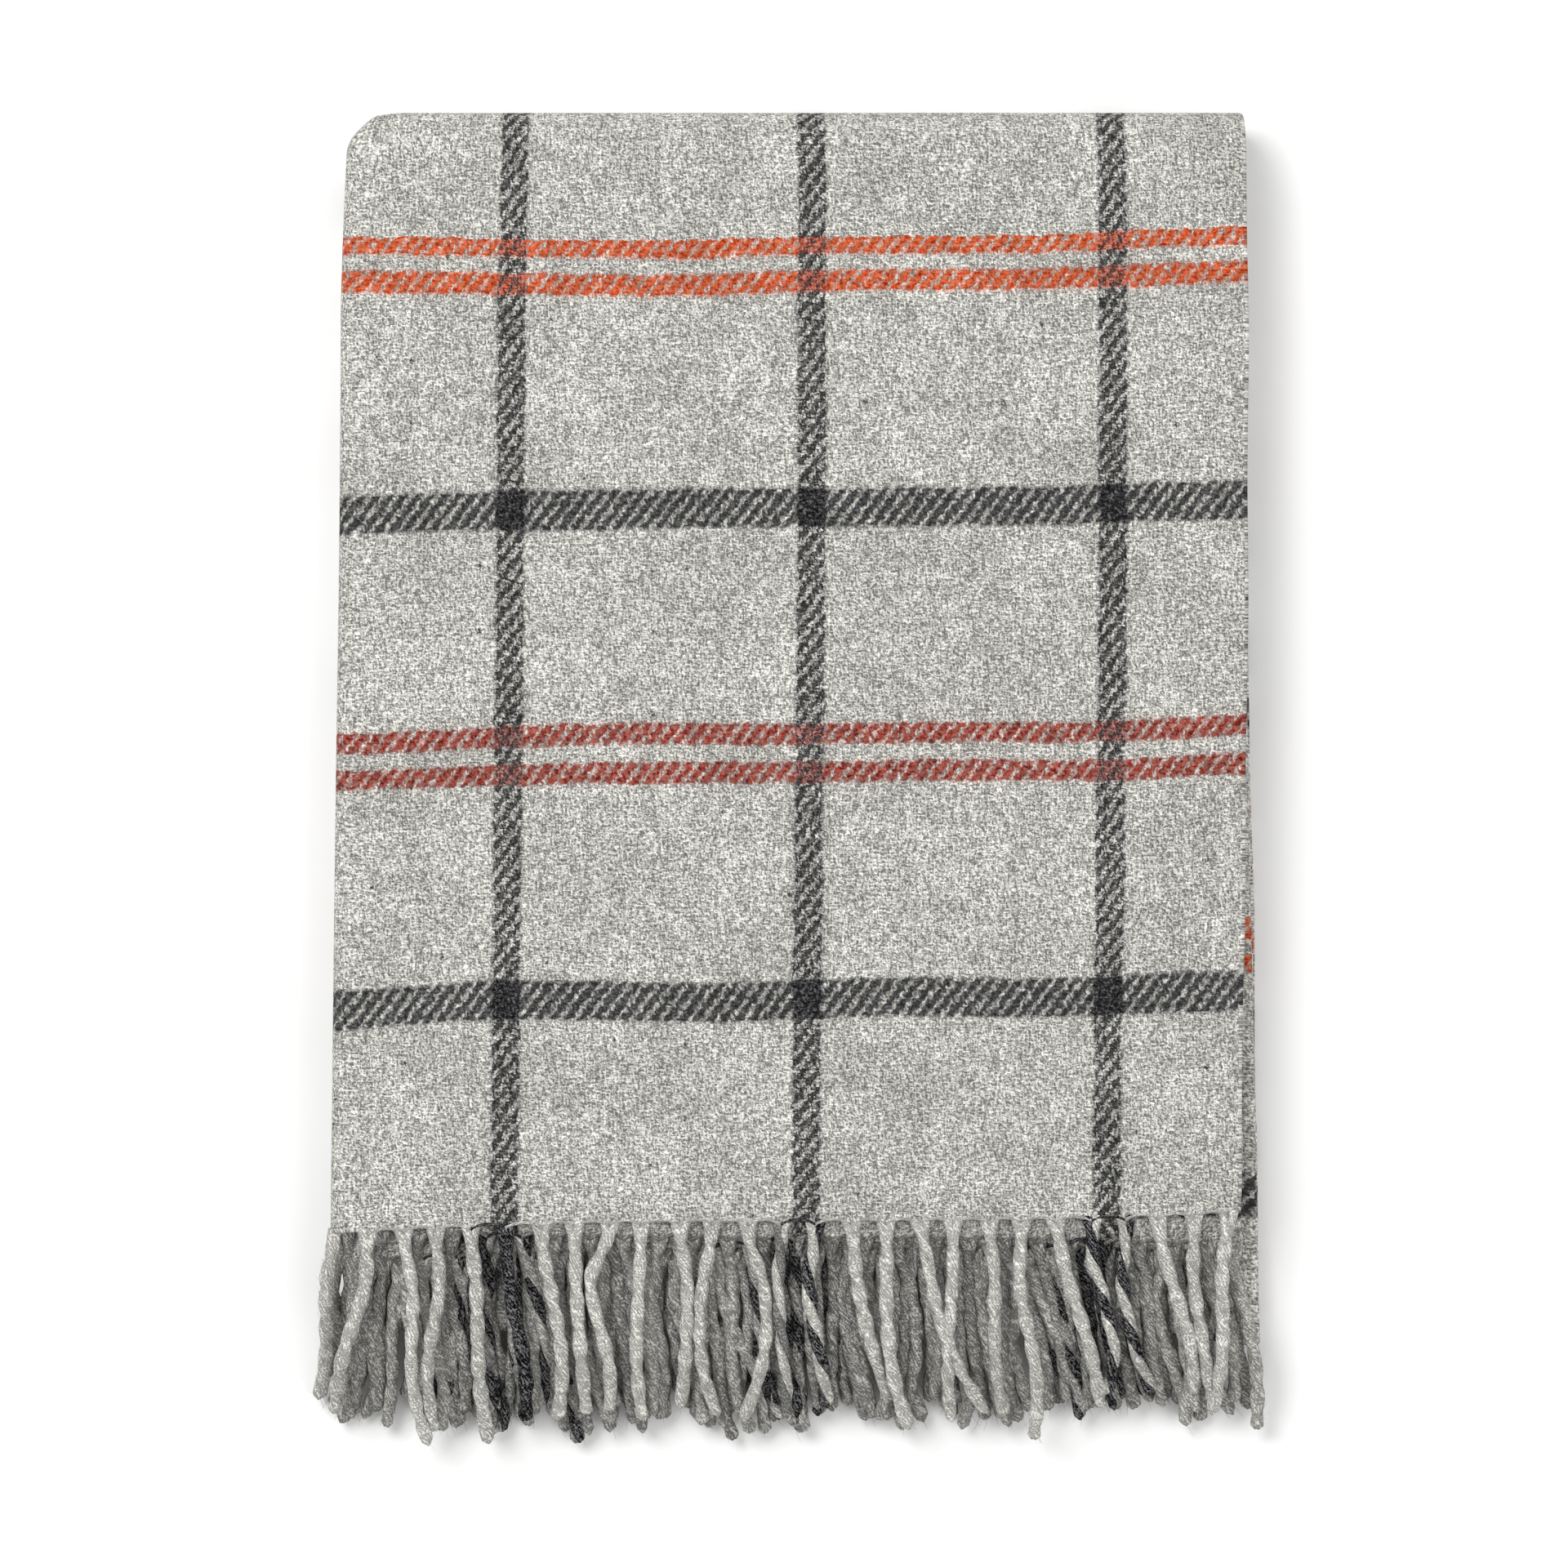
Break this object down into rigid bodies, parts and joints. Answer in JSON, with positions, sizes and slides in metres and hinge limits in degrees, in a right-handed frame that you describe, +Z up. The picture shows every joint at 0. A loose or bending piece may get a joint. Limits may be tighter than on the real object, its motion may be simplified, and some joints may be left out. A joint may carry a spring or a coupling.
{
  "type": "folded throw blanket",
  "caption": "Wool throw blanket folded into a flat bundle, with check stripes and a twisted fringe, that opens at its top fold.",
  "frame": {"origin": "on the ground plane, under the middle of the bundle's outline, fringe included", "axes": "+Z up from the ground through the plies, +Y from the fringe to the top fold, +X from the side folds to the free selvedges"},
  "size_m": [0.3488, 0.4868, 0.0357],
  "materials": {
    "wool_twill": "raised pale grey wool twill with charcoal, orange and rust check stripes",
    "selvedge": "firm pale grey woven edge",
    "fringe": "twisted grey and charcoal wool strands, fuzzy"
  },
  "bodies": {
    "back_half": {"back_ply_1": "wool_twill", "back_ply_2": "wool_twill", "back_ply_3": "wool_twill", "back_ply_4": "wool_twill", "back_ply_5": "wool_twill", "back_ply_6": "wool_twill", "back_ply_7": "wool_twill", "back_ply_8": "wool_twill", "back_left_folds": "wool_twill", "back_right_folds": "wool_twill", "back_selvedges": "selvedge", "end_folds": "wool_twill", "top_fold": "wool_twill"},
    "front_half": {"front_ply_1": "wool_twill", "front_ply_2": "wool_twill", "front_ply_3": "wool_twill", "front_ply_4": "wool_twill", "front_ply_5": "wool_twill", "front_ply_6": "wool_twill", "front_ply_7": "wool_twill", "front_ply_8": "wool_twill", "front_left_folds": "wool_twill", "front_right_folds": "wool_twill", "front_selvedges": "selvedge", "fringe_row_1": "fringe", "fringe_row_2": "fringe", "fringe_row_3": "fringe", "fringe_row_4": "fringe", "fringe_row_5": "fringe", "fringe_row_6": "fringe", "fringe_row_7": "fringe", "fringe_row_8": "fringe"}
  },
  "joints": [
    {"name": "top_fold_hinge", "type": "hinge", "parent": "back_half", "child": "front_half", "pos_m": [0, 0.22615, 0.01775], "axis": [-1, 0, 0], "range_deg": [0, 179.5], "deforming": ["top_fold"]}
  ]
}
